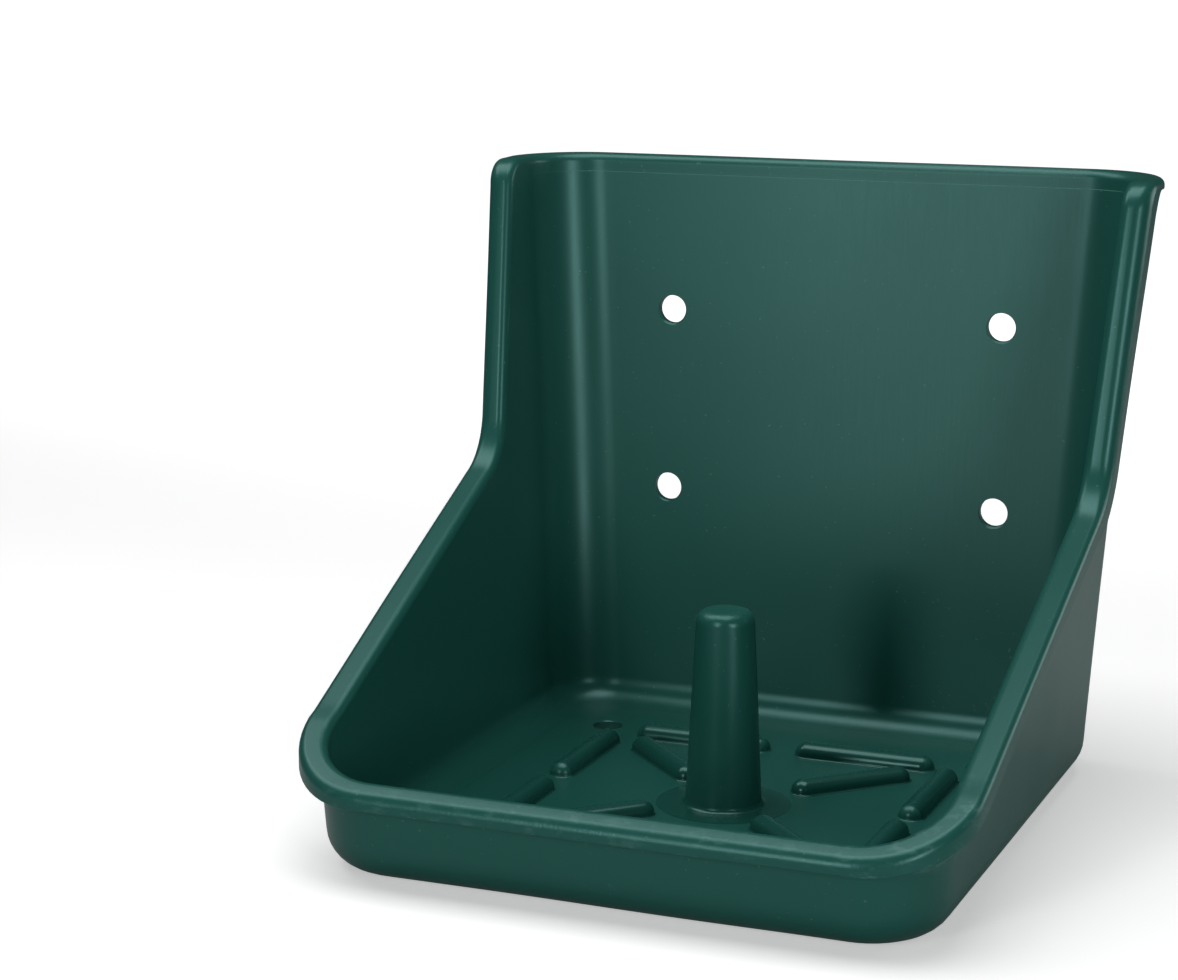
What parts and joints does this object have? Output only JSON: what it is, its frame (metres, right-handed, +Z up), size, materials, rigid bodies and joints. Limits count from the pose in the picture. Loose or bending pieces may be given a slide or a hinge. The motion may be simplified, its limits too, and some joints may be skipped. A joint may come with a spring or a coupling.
{
  "type": "lick stone holder",
  "caption": "Open plastic stable tray with a high back to screw to a wall, sloping sides, a folded lip, floor ribs and a tapered centre pin that holds a lick stone.",
  "frame": {"origin": "centre of the overall width and depth, on the underside", "axes": "+X to the right as seen from the front, +Y towards the wall it hangs on, +Z up"},
  "size_m": [0.2916, 0.2916, 0.252],
  "materials": {
    "green_plastic": "satin moulded polypropylene with fine draw marks and light scuffs"
  },
  "bodies": {
    "root": {"floor_pan": "green_plastic", "front_wall": "green_plastic", "back_panel": "green_plastic", "left_side_wall": "green_plastic", "right_side_wall": "green_plastic", "front_lip": "green_plastic", "left_slope_lip": "green_plastic", "right_slope_lip": "green_plastic", "left_ear_lip": "green_plastic", "right_ear_lip": "green_plastic", "back_lip": "green_plastic", "centre_pin": "green_plastic", "front_rib_a": "green_plastic", "front_rib_b": "green_plastic", "right_rib_a": "green_plastic", "right_rib_b": "green_plastic", "back_rib_a": "green_plastic", "back_rib_b": "green_plastic", "left_rib_a": "green_plastic", "left_rib_b": "green_plastic", "front_right_rib": "green_plastic", "back_right_rib": "green_plastic", "back_left_rib": "green_plastic", "front_left_rib": "green_plastic"}
  },
  "joints": []
}
